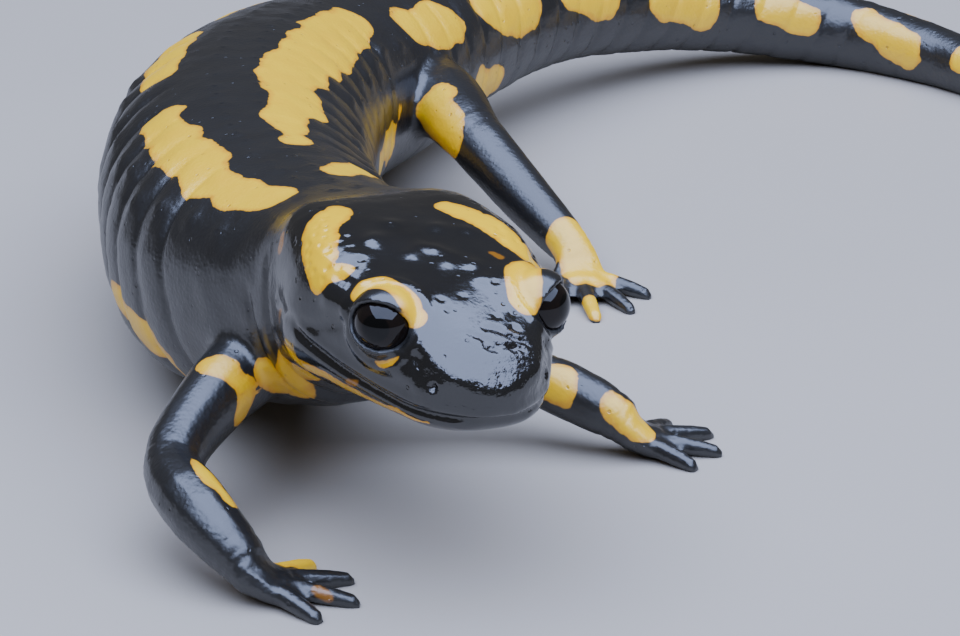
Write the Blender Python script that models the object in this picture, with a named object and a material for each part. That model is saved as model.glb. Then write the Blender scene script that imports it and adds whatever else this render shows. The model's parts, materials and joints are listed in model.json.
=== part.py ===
"""A fire salamander as a still, life-size model: it stands on its four feet and its tail, the head
raised and turned to its left, the trunk bowed to its right and the tail swept round to the left.

The script works in millimetres and makes its meshes in metres, +Z up. The floor is at z = 0. The
animal looks towards -Y, so its left side is at +X. The body is one long loft, parted by thin cuts.
"""

from math import cos, pi, radians, sin, sqrt

import bmesh
import bpy
import numpy as np
from mathutils import Matrix, Vector

MM = 0.001
GAP = 0.3  # between any two pieces

# The head: where the middle between its eyes is, and how it is turned.
HEAD_PLACE = Vector((-0.15, 0.85, 19.0))
HEAD_YAW, HEAD_NOD, HEAD_ROLL = radians(24.3), radians(8.3), radians(2.8)
HEAD_LENGTH = 20.0  # snout to the fold at the neck
EYE_BEHIND_SNOUT = 7.2
EYE_ABOVE_MOUTH = 4.1
EYE_SPREAD = 5.5  # from the middle of the head to the middle of an eye
EYE_RADIUS = 2.15
SNOUT_ROUNDING = 4.0
JAW_SETBACK = 0.5
JAW_LENGTH = 14.5  # snout to the corner of the mouth
MOUTH_DIP, MOUTH_RISE = 0.45, 0.5  # how far the mouth line sags under the eye and climbs at its corner
JAW_BLOCK_HALF, JAW_BLOCK_BOTTOM, JAW_BLOCK_FRONT, JAW_BLOCK_SLANT = 14.0, -16.0, 4.0, 1.5

# The brow over each eye and the long gland behind it, about the middle between the eyes: how far
# out, back and up they sit, how far they stand out, and how wide they are.
BROW_PLACE, BROW_HEIGHT, BROW_SIZE = (5.4, 0.3, 1.6), 1.15, 2.6
GLAND_FRONT, GLAND_REAR, GLAND_OUT, GLAND_TAPER, GLAND_UP = 4.2, 14.0, 6.6, 0.16, 1.2
GLAND_HEIGHT, GLAND_SIZE, GLAND_FLATNESS = 0.9, 2.3, 0.7

# How square the outline is (2 is an ellipse), above and below, on the body and added on the head.
SQUARE_ABOVE, SQUARE_BELOW = 2.1, 2.6
HEAD_SQUARE_ABOVE, HEAD_SQUARE_BELOW = 0.45, -0.3
HEAD_ENDS, HEAD_BLEND = 30.0, 12.0  # where the head's form has died away, and over what length

# Stations of the head: behind the snout, half width, height above the mouth, depth below it.
HEAD_SIZES = (
    (0.0, 3.7, 4.3, 2.0),
    (3.0, 4.8, 4.7, 2.3),
    (7.2, 6.3, 5.8, 3.2),
    (11.0, 7.7, 6.4, 4.1),
    (14.5, 8.7, 6.6, 5.1),
    (19.0, 8.0, 6.2, 6.8),
)

# Stations behind the head: x, y, z of the middle, half width, height above it, depth below it.
BODY_STATIONS = (
    (-7.4, 16.4, 15.9, 7.5, 5.9, 8.8),
    (-11.2, 23.4, 13.6, 9.1, 7.3, 9.2),
    (-15.0, 33.0, 11.6, 10.5, 8.9, 9.8),
    (-17.0, 43.0, 11.0, 10.6, 9.5, 9.4),
    (-17.6, 53.0, 10.8, 10.6, 9.5, 9.2),
    (-16.8, 63.0, 10.6, 10.1, 9.2, 8.8),
    (-13.6, 74.0, 10.2, 9.0, 8.2, 8.2),
    (-8.0, 83.0, 9.6, 7.7, 7.2, 7.2),
    (-1.4, 92.8, 9.4, 5.7, 5.6, 5.6),
    (6.0, 102.8, 8.8, 4.6, 4.7, 4.7),
    (14.0, 110.4, 7.2, 4.1, 4.2, 4.2),
    (24.0, 115.6, 5.2, 3.6, 3.7, 3.8),
    (34.0, 116.0, 3.4, 3.1, 3.2, 3.5),
    (43.0, 110.2, 2.4, 2.6, 2.7, 2.7),
    (50.0, 101.0, 1.8, 2.0, 2.0, 2.0),
    (55.0, 91.0, 1.1, 1.2, 1.2, 1.3),
)
TAIL_END_ROUNDING = 2.5

# Where the body is parted, as distances behind the snout.
CUTS = {"neck": 20.0, "chest": 27.5, "trunk": 46.0, "hips": 84.0, "tail_base": 104.0,
        "tail_middle": 136.0, "tail_tip": 164.0}

# Each limb: points from inside the body out, with the radius there, the two joints' numbers, and
# then the palm or sole: its heading, and each digit's spread in degrees and length.
ARM_RIGHT = {
    "points": ((-13.0, 19.4, 10.0, 3.3), (-17.0, 13.4, 8.2, 2.6), (-19.6, 6.2, 5.8, 2.1),
               (-17.6, 1.2, 5.0, 2.3), (-14.6, -2.0, 2.8, 1.8)),
    "joints": (2, 4), "heading": 4.0, "palm": 3.2,
    "digits": ((48, 3.4), (16, 4.6), (-14, 4.8), (-46, 3.4)),
}
ARM_LEFT = {
    "points": ((-7.0, 25.6, 10.0, 3.3), (-1.6, 26.4, 7.8, 2.5), (5.2, 25.0, 4.8, 2.0),
               (8.0, 23.6, 4.0, 2.05), (11.0, 22.4, 2.7, 1.75)),
    "joints": (2, 4), "heading": 10.0, "palm": 3.0,
    "digits": ((48, 3.2), (16, 4.6), (-14, 4.4), (-46, 3.2)),
}
LEG_LEFT = {
    "points": ((-6.4, 83.0, 8.8, 3.6), (-2.2, 76.0, 9.2, 3.3), (0.6, 68.4, 8.4, 2.5),
               (4.4, 62.8, 5.6, 2.2), (8.4, 57.8, 2.6, 1.7)),
    "joints": (2, 4), "heading": -82.0, "palm": 4.2,
    "digits": ((58, 3.4), (26, 4.8), (2, 5.6), (-24, 5.2), (-56, 3.4)),
}
LEG_RIGHT = {
    "points": ((-10.0, 85.0, 8.8, 3.6), (-15.0, 85.8, 9.2, 3.3), (-20.2, 88.2, 8.4, 2.5),
               (-22.2, 92.6, 5.6, 2.2), (-21.8, 97.2, 2.6, 1.7)),
    "joints": (2, 4), "heading": 132.0, "palm": 4.2,
    "digits": ((58, 3.4), (24, 5.2), (-2, 5.6), (-26, 4.8), (-58, 3.4)),
}
PALM_WIDTH, PALM_THICKNESS = 2.3, 1.15

# Each digit: share of its length, radius, and how far the arch lifts it there.
DIGIT_SHAPE = ((0.0, 0.85, 0.35), (0.35, 0.72, 0.45), (0.72, 0.62, 0.2), (0.93, 0.52, 0.05),
               (1.0, 0.28, 0.0))
PALM_SHARES = (0.0, 0.2, 0.45, 0.7, 0.9, 1.0)
PALM_SPREADS_BY = 0.6  # the share of the palm's length over which the wrist flattens into it
DIGIT_SPACING = 1.1  # between the roots of the digits, across the palm
SOLE_DEPTH = 0.25  # how far a foot's round underside would reach below the floor
CUTTER_START, CUTTER_END = 21.0, 118.0  # the stretch of body that the limbs' roots meet

# Facets.
HEAD_SIDES, BODY_SIDES, TAIL_SIDES, LIMB_SIDES, DIGIT_SIDES = 38, 30, 20, 12, 8
HEAD_STEP, BODY_STEP, LIMB_STEP = 1.0, 3.2, 2.2
NOSE_ROWS, TAIL_END_ROWS, JAW_BLOCK_POINTS = 6, 4, 17

SKIN_BLACK = (0.012, 0.012, 0.015)
EYE_BLACK = (0.008, 0.007, 0.009)


# ---- Curves ----


def smooth(knots, rows):
    """A function that gives the values between rows of numbers, running smoothly through them."""
    knots, rows = np.array(knots, float), np.array(rows, float)
    slopes = np.gradient(rows, knots, axis=0)

    def at(place):
        i = int(np.clip(np.searchsorted(knots, place) - 1, 0, len(knots) - 2))
        span = knots[i + 1] - knots[i]
        t = (place - knots[i]) / span
        ease = t * t * (3 - 2 * t)
        bend = span * t * (1 - t) * ((1 - t) * slopes[i] - t * slopes[i + 1])
        return (1 - ease) * rows[i] + ease * rows[i + 1] + bend

    return at


def lengths_along(points):
    """The distance from the first point to each point, along the straight lines between them."""
    steps = [(Vector(b) - Vector(a)).length for a, b in zip(points, points[1:])]
    return [sum(steps[:i]) for i in range(len(points))]


def rounding(distance, length):
    """Grows from 0 to 1 over the length, as a round nose does."""
    t = min(max(distance / length, 0.0), 1.0)
    return sqrt(t * (2 - t))


def signed_power(value, power):
    return abs(value) ** power * (1 if value >= 0 else -1)


# ---- The body's form ----

HEAD = Matrix.Translation(HEAD_PLACE) @ (
    Matrix.Rotation(HEAD_YAW, 4, "Z")
    @ Matrix.Rotation(HEAD_NOD, 4, "X")
    @ Matrix.Rotation(HEAD_ROLL, 4, "Y")
)


def mouth_point(behind_snout):
    return HEAD @ Vector((0, behind_snout - EYE_BEHIND_SNOUT, -EYE_ABOVE_MOUTH))


HEAD_PLACES = [row[0] for row in HEAD_SIZES]
SPINE_POINTS = [mouth_point(s) for s in HEAD_PLACES] + [Vector(row[:3]) for row in BODY_STATIONS]
SPINE_PLACES = lengths_along(SPINE_POINTS)
BODY_LENGTH = SPINE_PLACES[-1]
SIZES = smooth(SPINE_PLACES, [row[1:] for row in HEAD_SIZES] + [row[3:] for row in BODY_STATIONS])
SPINE = smooth(SPINE_PLACES, SPINE_POINTS)


def body_frame(place):
    """The middle of the body there, with the animal's left, its tailward and its upward direction."""
    centre = Vector(SPINE(place))
    tailward = (Vector(SPINE(place + 0.2)) - Vector(SPINE(place - 0.2))).normalized()
    straight = min(max((place - HEAD_LENGTH) / HEAD_BLEND, 0.0), 1.0)
    upward = HEAD.to_3x3().col[2].lerp(Vector((0, 0, 1)), straight)
    left = tailward.cross(upward).normalized()
    return centre, left, tailward, left.cross(tailward)


def head_swelling(x, y, z):
    """How far the brows and the glands behind them stand out, at a point about the head's middle."""
    brow = (abs(x) - BROW_PLACE[0]) ** 2 + (y - BROW_PLACE[1]) ** 2 + (z - BROW_PLACE[2]) ** 2
    along = min(max(y, GLAND_FRONT), GLAND_REAR)
    across = GLAND_OUT - GLAND_TAPER * (along - GLAND_FRONT)
    gland = (abs(x) - across) ** 2 + (y - along) ** 2 + GLAND_FLATNESS * (z - GLAND_UP) ** 2
    return BROW_HEIGHT * np.exp(-brow / BROW_SIZE**2) + GLAND_HEIGHT * np.exp(-gland / GLAND_SIZE**2)


def section(place, angle, extra=0.0):
    """A point on the body's outline there, in millimetres left of and above its middle."""
    half_width, above, below = SIZES(place)
    nose, chin = rounding(place, SNOUT_ROUNDING), rounding(place - JAW_SETBACK, SNOUT_ROUNDING)
    tip = rounding(BODY_LENGTH - place, TAIL_END_ROUNDING)
    in_head = min(max((HEAD_ENDS - place) / HEAD_BLEND, 0.0), 1.0)
    if sin(angle) >= 0:
        height, square = above * nose, SQUARE_ABOVE + HEAD_SQUARE_ABOVE * in_head
    else:
        height, square = below * chin, SQUARE_BELOW + HEAD_SQUARE_BELOW * in_head
    x = half_width * nose * tip * signed_power(cos(angle), 2 / square)
    z = height * tip * signed_power(sin(angle), 2 / square)
    if place < HEAD_ENDS:
        swell = head_swelling(x, place - EYE_BEHIND_SNOUT, z - EYE_ABOVE_MOUTH)
        out = Vector((x, z)).normalized() * swell
        x, z = x + out.x, z + out.y
    out = Vector((x, z)).normalized() * extra
    return x + out.x, z + out.y


def body_ring(place, sides, extra=0.0):
    centre, left, _, upward = body_frame(place)
    ring = [section(place, 2 * pi * i / sides, extra) for i in range(sides)]
    return [centre + left * x + upward * z for x, z in ring]


def places_between(start, end, step):
    count = max(2, round((end - start) / step) + 1)
    return [float(place) for place in np.linspace(start, end, count)]


def rounded_places(length, count):
    """Places that crowd towards a round end, so that its facets are even."""
    return [length * (1 - cos(pi / 2 * i / count)) for i in range(1, count)]


# ---- Meshes and objects ----


def lofted(rings):
    """A closed bmesh through rings of points, each end capped flat."""
    bm = bmesh.new()
    rows = [[bm.verts.new(p * MM) for p in ring] for ring in rings]
    for row, after in zip(rows, rows[1:]):
        for i, corner in enumerate(row):
            j = (i + 1) % len(row)
            bm.faces.new((corner, row[j], after[j], after[i]))
    bm.faces.new(reversed(rows[0]))
    bm.faces.new(rows[-1])
    bmesh.ops.recalc_face_normals(bm, faces=bm.faces)
    return bm


def place_object(name, bm, origin=Vector(), turn=Matrix()):
    """An object at a place, its mesh moved so that the solid stays where the bmesh has it."""
    to_object = Matrix.Translation(origin * MM) @ turn
    bmesh.ops.transform(bm, matrix=to_object.inverted(), verts=bm.verts)
    mesh = bpy.data.meshes.new(name)
    bm.to_mesh(mesh)
    bm.free()
    mesh.shade_smooth()
    mesh.set_sharp_from_angle(angle=radians(50))
    item = bpy.data.objects.new(name, mesh)
    item.matrix_world = to_object
    bpy.context.collection.objects.link(item)
    return item


def finish(item, colour, roughness):
    """Gives the piece its own material."""
    material = bpy.data.materials.new(item.name + "_finish")
    material.use_nodes = True
    shader = material.node_tree.nodes["Principled BSDF"]
    shader.inputs["Base Color"].default_value = (*colour, 1.0)
    shader.inputs["Roughness"].default_value = roughness
    shader.inputs["Metallic"].default_value = 0.0
    item.data.materials.append(material)
    item.parent = ANIMAL


def as_cutter(item):
    item.hide_render = True
    item.display_type = "WIRE"
    item.parent = ANIMAL
    return item


def boolean(item, operation, other):
    modifier = item.modifiers.new(f"{operation.lower()} {other.name}", "BOOLEAN")
    modifier.operation = operation
    modifier.solver = "EXACT"
    modifier.object = other


# ---- The pieces ----


def add_floor_cutter():
    bm = bmesh.new()
    bmesh.ops.create_cube(bm, size=1.0)
    bmesh.ops.scale(bm, vec=(0.4, 0.4, 0.01), verts=bm.verts)
    bmesh.ops.translate(bm, vec=(0, 0.05, -0.005), verts=bm.verts)
    return as_cutter(place_object("floor_cutter", bm))


def add_body_cutter():
    """The body from the neck to the tail, larger by the gap, which cuts each limb's root."""
    places = places_between(CUTTER_START, CUTTER_END, BODY_STEP)
    rings = [body_ring(s, BODY_SIDES, GAP) for s in places]
    return as_cutter(place_object("limb_root_cutter", lofted(rings)))


def add_body_piece(name, start, end, floor=None):
    tip = TAIL_END_ROUNDING if end == BODY_LENGTH else 0.0
    places = places_between(start + GAP / 2, end - max(tip, GAP / 2), BODY_STEP)
    if tip:
        places += [BODY_LENGTH - s for s in reversed(rounded_places(tip, TAIL_END_ROWS))]
    sides = BODY_SIDES if start < CUTS["tail_base"] else TAIL_SIDES
    item = place_object(name, lofted([body_ring(s, sides) for s in places]), Vector(SPINE(start)))
    finish(item, SKIN_BLACK, 0.3)
    if floor:
        boolean(item, "DIFFERENCE", floor)


def head_loft():
    nose = rounded_places(SNOUT_ROUNDING, NOSE_ROWS)
    places = nose + places_between(SNOUT_ROUNDING, HEAD_LENGTH - GAP / 2, HEAD_STEP)
    return lofted([body_ring(s, HEAD_SIDES) for s in places])


def in_metres(matrix):
    scaled = matrix.copy()
    scaled.translation = matrix.translation * MM
    return scaled


def jaw_block(name, gap):
    """A block that takes in the lower jaw: its upper face follows the mouth, its rear face slants."""
    corner = JAW_LENGTH - EYE_BEHIND_SNOUT + gap
    front = -EYE_BEHIND_SNOUT - JAW_BLOCK_FRONT
    outline = []
    for y in np.linspace(front, corner, JAW_BLOCK_POINTS):
        share = max(0.0, (y + EYE_BEHIND_SNOUT) / JAW_LENGTH)
        bend = MOUTH_RISE * share**4 - MOUTH_DIP * sin(pi * share)
        outline.append((y, gap - GAP / 2 - EYE_ABOVE_MOUTH + bend))
    outline += [(corner + JAW_BLOCK_SLANT, JAW_BLOCK_BOTTOM), (front, JAW_BLOCK_BOTTOM)]
    bm = lofted([[Vector((x, y, z)) for y, z in outline] for x in (-JAW_BLOCK_HALF, JAW_BLOCK_HALF)])
    bmesh.ops.transform(bm, matrix=in_metres(HEAD), verts=bm.verts)
    return as_cutter(place_object(name, bm, HEAD_PLACE, HEAD.to_3x3().to_4x4()))


def eye_ball(name, side, extra):
    bm = bmesh.new()
    bmesh.ops.create_icosphere(bm, subdivisions=3, radius=(EYE_RADIUS + extra) * MM)
    centre = HEAD @ Vector((side * EYE_SPREAD, 0, 0))
    bmesh.ops.translate(bm, vec=centre * MM, verts=bm.verts)
    return place_object(name, bm, centre, HEAD.to_3x3().to_4x4())


def add_head():
    """The head with its eyes in their sockets, and the lower jaw under the mouth."""
    turn = HEAD.to_3x3().to_4x4()
    head = place_object("head", head_loft(), HEAD_PLACE, turn)
    jaw = place_object("lower_jaw", head_loft(), HEAD_PLACE, turn)
    boolean(head, "DIFFERENCE", jaw_block("mouth_cutter", GAP))
    boolean(jaw, "INTERSECT", jaw_block("jaw_cutter", 0.0))
    for name, side in (("left", 1), ("right", -1)):
        socket = as_cutter(eye_ball(f"socket_cutter_{name}", side, GAP))
        boolean(head, "DIFFERENCE", socket)
        finish(eye_ball(f"eye_{name}", side, 0.0), EYE_BLACK, 0.05)
    finish(head, SKIN_BLACK, 0.25)
    finish(jaw, SKIN_BLACK, 0.25)


def limb_ring(centre, along, half_width, thickness, sides):
    left = along.cross(Vector((0, 0, 1))).normalized()
    upward = left.cross(along)
    turns = [2 * pi * i / sides for i in range(sides)]
    return [centre + left * half_width * cos(a) + upward * thickness * sin(a) for a in turns]


def digit(name, root, heading, length):
    """A tapering toe with a round tip, arched a little, its tip low."""
    forward = Vector((cos(heading), sin(heading), 0))
    rings = []
    for share, radius, lift in DIGIT_SHAPE:
        centre = root + forward * length * share
        centre.z = radius + lift - SOLE_DEPTH
        rings.append(limb_ring(centre, forward, radius, radius, DIGIT_SIDES))
    return as_cutter(place_object(name, lofted(rings)))


def add_limb(names, plan, body_cutter, floor):
    """The upper length, the lower length, and the hand or foot with its digits."""
    points = [Vector(row[:3]) for row in plan["points"]]
    knots = lengths_along(points)
    path, radius = smooth(knots, points), smooth(knots, [row[3:] for row in plan["points"]])
    cuts = [0.0] + [knots[i] for i in plan["joints"]]
    for name, start, end in zip(names, cuts, cuts[1:]):
        rings = []
        for s in places_between(start, end, LIMB_STEP):
            along = (Vector(path(s + 0.1)) - Vector(path(s - 0.1))).normalized()
            size = radius(s)[0]
            clear = GAP / 2 * ((s == start) - (s == end))
            rings.append(limb_ring(Vector(path(s)) + along * clear, along, size, size, LIMB_SIDES))
        item = place_object(name, lofted(rings), Vector(path(start)))
        boolean(item, "DIFFERENCE", body_cutter)
        finish(item, SKIN_BLACK, 0.3)
    arm = (points[-1] - points[-2]).normalized()
    add_hand(names[2], points[-1], arm, radius(knots[-1])[0], plan, floor)


def palm_rings(wrist, arm, forward, wrist_radius, length):
    """Rings from the wrist to the roots of the digits, flattening and turning towards the floor."""
    rings = []
    for share in PALM_SHARES:
        ease = min(1.0, share / PALM_SPREADS_BY)
        end = sqrt(max(0.0, 1 - (share / 1.04) ** 6))
        half_width = (wrist_radius + (PALM_WIDTH - wrist_radius) * ease) * end
        thickness = (wrist_radius + (PALM_THICKNESS - wrist_radius) * ease) * (0.4 + 0.6 * end)
        centre = wrist + arm * GAP / 2 + forward * length * share
        centre.z += (PALM_THICKNESS - SOLE_DEPTH - centre.z) * ease
        along = arm.lerp(forward, min(1.0, share * 2)).normalized()
        rings.append(limb_ring(centre, along, half_width, thickness, LIMB_SIDES))
    return rings


def add_hand(name, wrist, arm, wrist_radius, plan, floor):
    """The palm with its digits joined on, cut flat where it stands on the floor."""
    heading = radians(plan["heading"])
    forward = Vector((cos(heading), sin(heading), 0))
    sideways = Vector((-sin(heading), cos(heading), 0))
    palm = plan["palm"]
    item = place_object(name, lofted(palm_rings(wrist, arm, forward, wrist_radius, palm)), wrist)
    for i, (spread, length) in enumerate(plan["digits"]):
        turn = radians(spread)
        root = wrist + forward * palm / 2 + sideways * DIGIT_SPACING * sin(turn)
        toe = digit(f"{name}_digit_{i + 1}", root, heading + turn, length + 0.45 * palm)
        boolean(item, "UNION", toe)
    boolean(item, "DIFFERENCE", floor)
    finish(item, SKIN_BLACK, 0.3)


def add_body(floor):
    """The neck, the trunk's three lengths and the tail's three, which lies flat on the floor."""
    names = list(CUTS)
    ends = [CUTS[name] for name in names[1:]] + [BODY_LENGTH]
    for name, end in zip(names, ends):
        add_body_piece(name, CUTS[name], end, floor if name in ("tail_middle", "tail_tip") else None)


def add_limbs(floor):
    body_cutter = add_body_cutter()
    for side, arm, leg in (("left", ARM_LEFT, LEG_LEFT), ("right", ARM_RIGHT, LEG_RIGHT)):
        arm_names = [f"{part}_{side}" for part in ("upper_arm", "forearm", "hand")]
        leg_names = [f"{part}_{side}" for part in ("thigh", "shank", "foot")]
        add_limb(arm_names, arm, body_cutter, floor)
        add_limb(leg_names, leg, body_cutter, floor)


def centre_on_origin():
    """Moves the animal so that the middle of its box's underside is the origin."""
    bpy.context.view_layer.update()
    graph = bpy.context.evaluated_depsgraph_get()
    corners = []
    for item in bpy.data.objects:
        if item.type == "MESH" and not item.hide_render:
            solid = item.evaluated_get(graph)
            corners += [item.matrix_world @ v.co for v in solid.data.vertices]
    corners = np.array(corners)
    low, high = corners.min(axis=0), corners.max(axis=0)
    ANIMAL.location = (-(low[0] + high[0]) / 2, -(low[1] + high[1]) / 2, 0)


for old in list(bpy.data.objects):
    bpy.data.objects.remove(old)
ANIMAL = bpy.data.objects.new("salamander", None)
bpy.context.collection.objects.link(ANIMAL)

FLOOR_CUTTER = add_floor_cutter()
add_head()
add_body(FLOOR_CUTTER)
add_limbs(FLOOR_CUTTER)
centre_on_origin()
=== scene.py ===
"""The looks of a life-size fire salamander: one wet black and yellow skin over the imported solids, two
dark eyes in their lids, a pale floor and soft studio light.

Lengths are in millimetres unless a name or a unit says otherwise, and the mesh is made in metres.
The animal's plan is part.py's: it looks towards -Y and its left side is at +X. A point of the plan
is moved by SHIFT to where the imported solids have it.
"""

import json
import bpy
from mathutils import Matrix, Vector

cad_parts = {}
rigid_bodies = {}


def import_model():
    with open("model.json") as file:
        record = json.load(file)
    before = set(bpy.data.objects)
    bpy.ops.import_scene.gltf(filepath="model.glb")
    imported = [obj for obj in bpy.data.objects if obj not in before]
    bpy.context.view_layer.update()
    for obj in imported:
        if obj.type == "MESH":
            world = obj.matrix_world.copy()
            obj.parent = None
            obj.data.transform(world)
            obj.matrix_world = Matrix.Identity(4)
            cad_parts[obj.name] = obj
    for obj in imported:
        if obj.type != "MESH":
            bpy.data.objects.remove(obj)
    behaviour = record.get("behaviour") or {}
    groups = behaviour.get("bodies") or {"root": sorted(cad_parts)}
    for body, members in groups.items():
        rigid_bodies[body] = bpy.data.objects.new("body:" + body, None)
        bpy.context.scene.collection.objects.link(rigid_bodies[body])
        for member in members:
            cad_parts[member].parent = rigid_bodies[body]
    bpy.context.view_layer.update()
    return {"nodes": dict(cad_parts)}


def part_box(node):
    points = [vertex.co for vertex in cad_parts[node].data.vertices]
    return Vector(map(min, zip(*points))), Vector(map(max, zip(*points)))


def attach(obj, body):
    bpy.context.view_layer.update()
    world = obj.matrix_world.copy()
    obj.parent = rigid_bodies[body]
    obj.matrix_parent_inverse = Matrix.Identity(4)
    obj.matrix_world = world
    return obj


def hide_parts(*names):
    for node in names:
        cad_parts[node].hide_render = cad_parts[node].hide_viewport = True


bl_info = {
    "name": "Fire Salamander",
    "version": (1, 0, 0),
    "blender": (4, 5, 0),
    "location": "3D View > Sidebar > Salamander",
    "description": "Dresses a fire salamander's solids with its skin and eyes, and lights it",
    "category": "Object",
}

from math import cos, pi, radians, sin

import bpy
import numpy as np
from bpy.props import FloatProperty, FloatVectorProperty, IntProperty, PointerProperty
from mathutils import Matrix, Vector, noise
from mathutils.bvhtree import BVHTree

# The startup objects go before the frame's own come in.
for item in list(bpy.data.objects):
    bpy.data.objects.remove(item)
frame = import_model()

MM = 0.001
FLESH = [name for name in sorted(frame["nodes"]) if not name.startswith("eye_")]

# ---- The animal's plan ----

SIDES = {"left": 1, "right": -1}
EYE_MIDDLE = Vector((-0.15, 0.85, 19.0))  # halfway between the eyes
HEAD_YAW, HEAD_NOD, HEAD_ROLL = radians(24.3), radians(8.3), radians(2.8)
EYE_BEHIND_SNOUT = 7.2
EYE_SPREAD = 5.5  # from the middle of the head to the middle of an eye
EYE_RADIUS = 2.0
MOUTH_BELOW_EYE = 4.1
MOUTH_LENGTH = 14.5
MOUTH_DIP, MOUTH_RISE = 0.45, 0.5  # how far it sinks halfway, and rises at the corner

# The middle of the body, from the neck to the tail's tip.
SPINE_POINTS = (
    (-7.4, 16.4, 15.9), (-11.2, 23.4, 13.6), (-15.0, 33.0, 11.6), (-17.0, 43.0, 11.0),
    (-17.6, 53.0, 10.8), (-16.8, 63.0, 10.6), (-13.6, 74.0, 10.2), (-8.0, 83.0, 9.6),
    (-1.4, 92.8, 9.4), (6.0, 102.8, 8.8), (14.0, 110.4, 7.2), (24.0, 115.6, 5.2),
    (34.0, 116.0, 3.4), (43.0, 110.2, 2.4), (50.0, 101.0, 1.8), (55.0, 91.0, 1.1),
)
# How far behind the snout its points in the head are.
MOUTH_PLACES = (0.0, 3.0, 7.2, 11.0, 14.5, 19.0)
SPINE_STEP = 0.3
HEAD_ENDS, HEAD_BLEND = 20.0, 12.0  # where the head's roll fades, and over what length
POINTS_AT_ONCE = 8000  # fewer at a time take less memory

HEAD = Matrix.Translation(EYE_MIDDLE) @ (
    Matrix.Rotation(HEAD_YAW, 4, "Z")
    @ Matrix.Rotation(HEAD_NOD, 4, "X")
    @ Matrix.Rotation(HEAD_ROLL, 4, "Y")
)


def eye_centre(side):
    """The middle of an eye's solid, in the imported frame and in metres."""
    low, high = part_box(f"eye_{side}")
    return (low + high) / 2


SHIFT = (eye_centre("left") + eye_centre("right")) / 2 / MM - EYE_MIDDLE
SHIFT_ARRAY = np.array(SHIFT)


def ease(value, low, high):
    """Runs smoothly from 0 at low to 1 at high."""
    t = np.clip((value - low) / (high - low), 0.0, 1.0)
    return t * t * (3 - 2 * t)


def bump(distance, width):
    """1 in the middle, dying away over about the width."""
    return np.exp(-((distance / width) ** 2))


class Spine:
    """The curved middle of the body, which places points by their distance behind the snout."""

    def __init__(self):
        mouth = [HEAD @ Vector((0, s - EYE_BEHIND_SNOUT, -MOUTH_BELOW_EYE)) for s in MOUTH_PLACES]
        points = np.array([*mouth, *SPINE_POINTS], float)
        lengths = np.linalg.norm(np.diff(points, axis=0), axis=1)
        knots = np.concatenate([[0.0], np.cumsum(lengths)])
        self.places = np.arange(0.0, knots[-1], SPINE_STEP)
        slopes = np.gradient(points, knots, axis=0)
        i = np.clip(np.searchsorted(knots, self.places) - 1, 0, len(knots) - 2)
        span = (knots[i + 1] - knots[i])[:, None]
        t = (self.places - knots[i])[:, None] / span
        blend = t * t * (3 - 2 * t)
        bend = span * t * (1 - t) * ((1 - t) * slopes[i] - t * slopes[i + 1])
        self.centres = (1 - blend) * points[i] + blend * points[i + 1] + bend
        self.tailward = np.gradient(self.centres, axis=0)
        self.tailward /= np.linalg.norm(self.tailward, axis=1)[:, None]
        straight = np.clip((self.places - HEAD_ENDS) / HEAD_BLEND, 0.0, 1.0)[:, None]
        upward = np.array(HEAD.to_3x3().col[2]) * (1 - straight) + np.array((0.0, 0.0, 1.0)) * straight
        self.left = np.cross(self.tailward, upward)
        self.left /= np.linalg.norm(self.left, axis=1)[:, None]
        self.upward = np.cross(self.left, self.tailward)

    def locate(self, points):
        """Each point's distance behind the snout, and its angle: 0 above, 90 on the left."""
        near = np.empty(len(points), int)
        for start in range(0, len(points), POINTS_AT_ONCE):
            some = slice(start, start + POINTS_AT_ONCE)
            gaps = ((points[some][:, None, :] - self.centres[None]) ** 2).sum(axis=2)
            near[some] = gaps.argmin(axis=1)
        out = points - self.centres[near]
        place = self.places[near] + (out * self.tailward[near]).sum(axis=1)
        across = (out * self.left[near]).sum(axis=1)
        above = (out * self.upward[near]).sum(axis=1)
        return place, np.degrees(np.arctan2(across, above))

    def ray(self, place, angle):
        """The middle of the body there, and the direction of the angle."""
        i = min(int(round(place / SPINE_STEP)), len(self.places) - 1)
        turn = radians(angle)
        return self.centres[i], self.left[i] * sin(turn) + self.upward[i] * cos(turn)


SPINE = Spine()


# ---- Modelling helpers ----

MERGE_GAP, LID_MERGE_GAP = 0.00001, 0.000005  # in metres
WEIGHT_STEPS = 16


def deselect():
    bpy.ops.object.select_all(action="DESELECT")


def active():
    return bpy.context.view_layer.objects.active


def pick(item):
    deselect()
    item.select_set(True)
    bpy.context.view_layer.objects.active = item


def merge(gap, outward=False):
    """Merges the active mesh's close points, and may turn its faces outward."""
    bpy.ops.object.mode_set(mode="EDIT")
    bpy.ops.mesh.select_all(action="SELECT")
    bpy.ops.mesh.remove_doubles(threshold=gap)
    if outward:
        bpy.ops.mesh.normals_make_consistent(inside=False)
    bpy.ops.object.mode_set(mode="OBJECT")


def apply_modifier(item, kind, **settings):
    """Adds a modifier to the piece and applies it."""
    pick(item)
    modifier = item.modifiers.new(kind.title(), kind)
    for name, value in settings.items():
        setattr(modifier, name, value)
    bpy.ops.object.modifier_apply(modifier=modifier.name)


def bare(item, name):
    """Names a piece made from others and takes off what it carried over from them."""
    item.name = name
    item.data.name = name
    item.parent = None
    for key in list(item.keys()):
        del item[key]
    item.data.materials.clear()
    return item


def joined_copy(name, nodes):
    """One mesh made of copies of solids, their loose triangles merged."""
    deselect()
    for node in nodes:
        frame["nodes"][node].select_set(True)
    bpy.context.view_layer.objects.active = frame["nodes"][nodes[0]]
    bpy.ops.object.duplicate()
    bpy.ops.object.join()
    item = bare(active(), name)
    merge(MERGE_GAP)
    return item


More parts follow.
